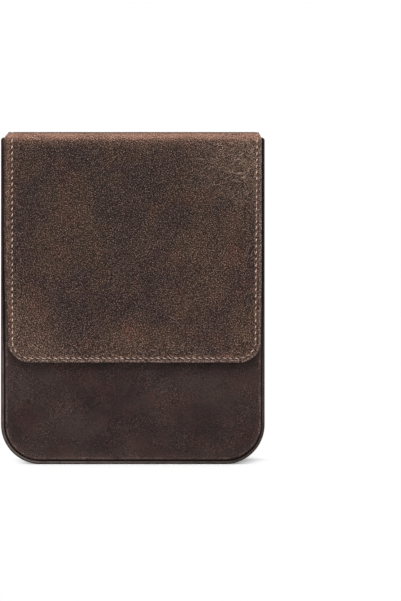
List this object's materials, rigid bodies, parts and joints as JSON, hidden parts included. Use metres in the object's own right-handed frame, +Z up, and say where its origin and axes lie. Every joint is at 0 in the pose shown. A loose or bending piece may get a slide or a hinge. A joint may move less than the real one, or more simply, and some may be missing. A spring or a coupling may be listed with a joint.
{
  "type": "pen case",
  "caption": "Upright leather pen case with a flap that folds over its open top and front, held by hidden magnets, and a lift-out tray with padded ribs between the pens.",
  "frame": {"origin": "middle of the flat face that the case stands on, half way across its width and depth", "axes": "+Z up along the pens, towards the top that opens; -Y out of the front with the flap; +X to the right seen from the front"},
  "size_m": [0.13, 0.0312, 0.1639],
  "materials": {
    "pull_up_leather": "waxed, worn lighter along folds and edges",
    "suede_lining": "matt suede",
    "tray_leather": "waxed",
    "tray_lining": "matt suede",
    "rib_leather": "satin",
    "board": "grey paperboard",
    "rib_cord": "twisted cotton",
    "magnet_steel": "nickel plate",
    "pale_thread": "waxed thread"
  },
  "bodies": {
    "case": {"front_leather": "pull_up_leather", "front_board": "board", "front_lining": "suede_lining", "front_magnet_left": "magnet_steel", "front_magnet_right": "magnet_steel", "back_leather": "pull_up_leather", "back_board": "board", "back_lining": "suede_lining", "band_leather": "pull_up_leather", "band_board": "board", "band_lining": "suede_lining", "back_fold_leather": "pull_up_leather", "back_fold_lining": "suede_lining"},
    "top_strip": {"strip_leather": "pull_up_leather", "strip_lining": "suede_lining", "strip_thread": "pale_thread", "front_fold_leather": "pull_up_leather", "front_fold_lining": "suede_lining"},
    "flap": {"flap_leather": "pull_up_leather", "flap_lining": "suede_lining", "flap_magnet_left": "magnet_steel", "flap_magnet_right": "magnet_steel", "flap_thread": "pale_thread"},
    "tray": {"tray_wall_leather": "tray_leather", "tray_wall_board": "board", "tray_wall_lining": "tray_lining", "tray_floor_leather": "tray_leather", "tray_floor_board": "board", "tray_floor_lining": "tray_lining", "rib_leather_1": "rib_leather", "rib_core_1": "rib_cord", "rib_leather_2": "rib_leather", "rib_core_2": "rib_cord", "rib_leather_3": "rib_leather", "rib_core_3": "rib_cord", "rib_leather_4": "rib_leather", "rib_core_4": "rib_cord", "rib_leather_5": "rib_leather", "rib_core_5": "rib_cord"}
  },
  "joints": [
    {"name": "back_fold", "type": "hinge", "parent": "case", "child": "top_strip", "pos_m": [0, 0.01216, 0.16186], "axis": [-1, 0, 0], "range_deg": [0, 180], "deforming": ["back_fold_leather", "back_fold_lining"]},
    {"name": "front_fold", "type": "hinge", "parent": "top_strip", "child": "flap", "pos_m": [0, -0.01516, 0.16186], "axis": [-1, 0, 0], "range_deg": [0, 90], "deforming": ["front_fold_leather", "front_fold_lining"]},
    {"name": "tray_slide", "type": "slide", "parent": "case", "child": "tray", "axis": [0, 0, 1], "range_m": [0, 0.004]}
  ]
}
